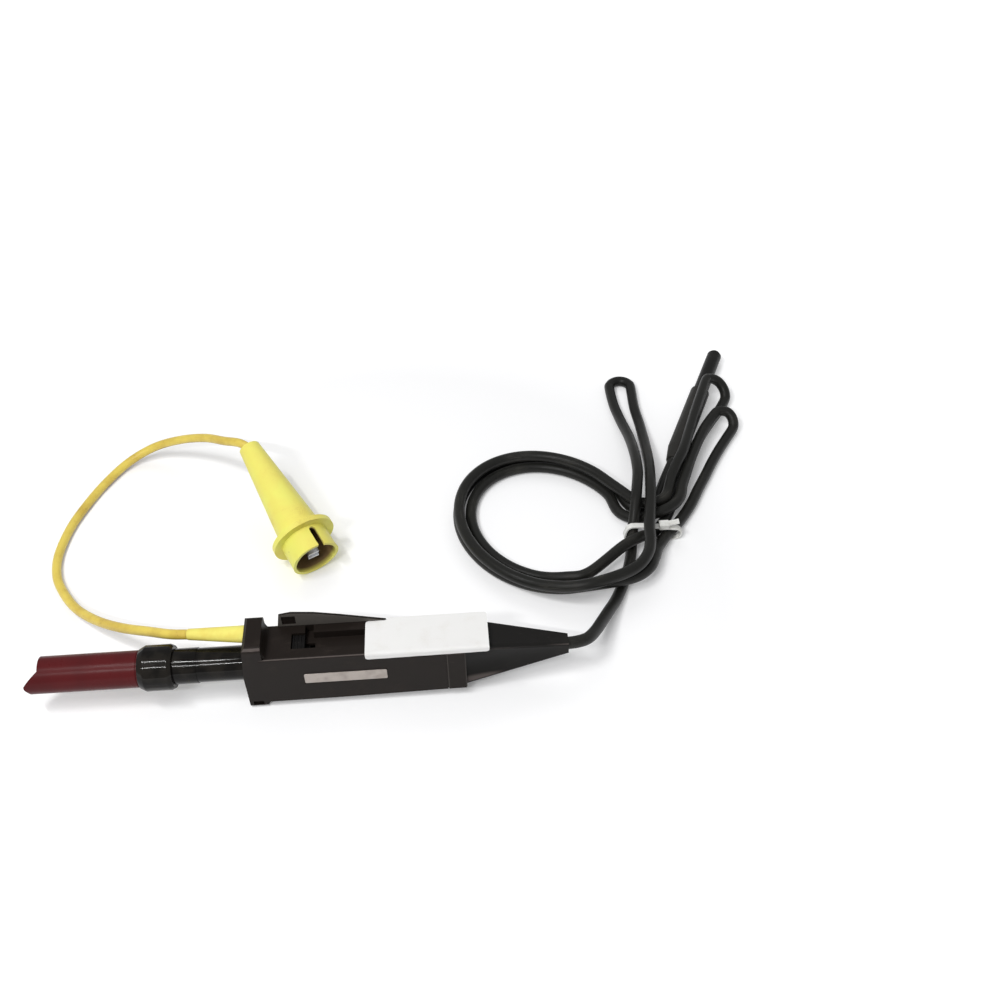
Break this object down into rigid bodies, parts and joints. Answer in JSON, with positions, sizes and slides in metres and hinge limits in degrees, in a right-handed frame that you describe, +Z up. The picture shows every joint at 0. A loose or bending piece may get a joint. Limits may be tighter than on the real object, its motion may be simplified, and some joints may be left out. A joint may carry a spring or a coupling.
{
  "type": "oscilloscope probe",
  "caption": "Hand-held oscilloscope probe with quick-turn nose, sliding contact, finger guard, sprung earth clip on a lead, and a tied signal cable with a shrouded plug.",
  "frame": {"origin": "middle of the object's underside, without its cords: half way between the nose's tip and the end of the strain boot, on the floor", "axes": "+X from the nose to the cable's exit, +Y to the side of the guard fin, +Z up"},
  "size_m": [0.4201, 0.2691, 0.0472],
  "materials": {
    "case_plastic": "moulded, fine grain",
    "gloss_black": "polished",
    "maroon_plastic": "polished",
    "ivory_insulator": "satin",
    "slide_plastic": "satin",
    "brass": "turned",
    "spring_steel": "drawn wire",
    "board_laminate": "satin",
    "resistor_coat": "lacquered",
    "screw_steel": "zinc plated",
    "boot_rubber": "moulded",
    "cable_rubber": "extruded, matt",
    "plate_metal": "satin",
    "label_paper": "matt",
    "yellow_plastic": "moulded, satin",
    "ochre_lead": "extruded, soiled",
    "jaw_steel": "plated",
    "white_nylon": "translucent",
    "plug_plastic": "moulded"
  },
  "bodies": {
    "probe": {"casing_front": "case_plastic", "casing_back": "case_plastic", "guard_flange": "case_plastic", "barrel": "case_plastic", "neck": "case_plastic", "nose_tube": "maroon_plastic", "nose_bush": "ivory_insulator", "return_spring": "spring_steel", "divider_board": "board_laminate", "divider_resistors": "resistor_coat", "trim_capacitor": "ivory_insulator", "case_screws": "screw_steel", "end_collar": "case_plastic", "strain_boot": "boot_rubber", "cable_clamp": "screw_steel", "cable_inner": "cable_rubber", "rating_plate": "plate_metal", "sticker_label": "label_paper", "lead_sleeve": "yellow_plastic", "lead_lug": "brass", "common_lead": "ochre_lead", "lead_inner": "ochre_lead", "clip_housing": "yellow_plastic", "fixed_jaw": "jaw_steel", "jaw_pin": "screw_steel", "jaw_spring": "spring_steel", "cable_lead": "cable_rubber", "cable_loops": "cable_rubber", "cable_tie": "white_nylon", "plug_grip": "plug_plastic", "plug_pin": "brass", "plug_spring": "spring_steel"},
    "ring_nut": {"ring_nut": "gloss_black"},
    "slide": {"thumb_slide": "slide_plastic", "drive_link": "slide_plastic", "contact_rod": "brass", "contact_tip": "brass"},
    "clip_jaw": {"moving_jaw": "jaw_steel"},
    "sheath": {"plug_sheath": "plug_plastic"}
  },
  "joints": [
    {"name": "nut_turn", "type": "hinge", "parent": "probe", "child": "ring_nut", "pos_m": [-0.072, 0, 0.0236], "axis": [1, 0, 0], "range_deg": [0, 90]},
    {"name": "slide_pull", "type": "slide", "parent": "probe", "child": "slide", "axis": [1, 0, 0], "range_m": [0, 0.006], "stiffness_N_per_m": 250, "springref_m": -0.004, "deforming": ["return_spring"]},
    {"name": "jaw_open", "type": "hinge", "parent": "probe", "child": "clip_jaw", "pos_m": [-0.01048, 0.10398, 0.02214], "axis": [-0.8746, -0.4848, 0], "range_deg": [0, 15], "stiffness_Nm_per_rad": 0.05, "springref_deg": -28.65},
    {"name": "sheath_push", "type": "slide", "parent": "probe", "child": "sheath", "axis": [-0.4067, -0.9135, 0], "range_m": [0, 0.018], "stiffness_N_per_m": 120, "springref_m": -0.008, "deforming": ["plug_spring"]}
  ]
}
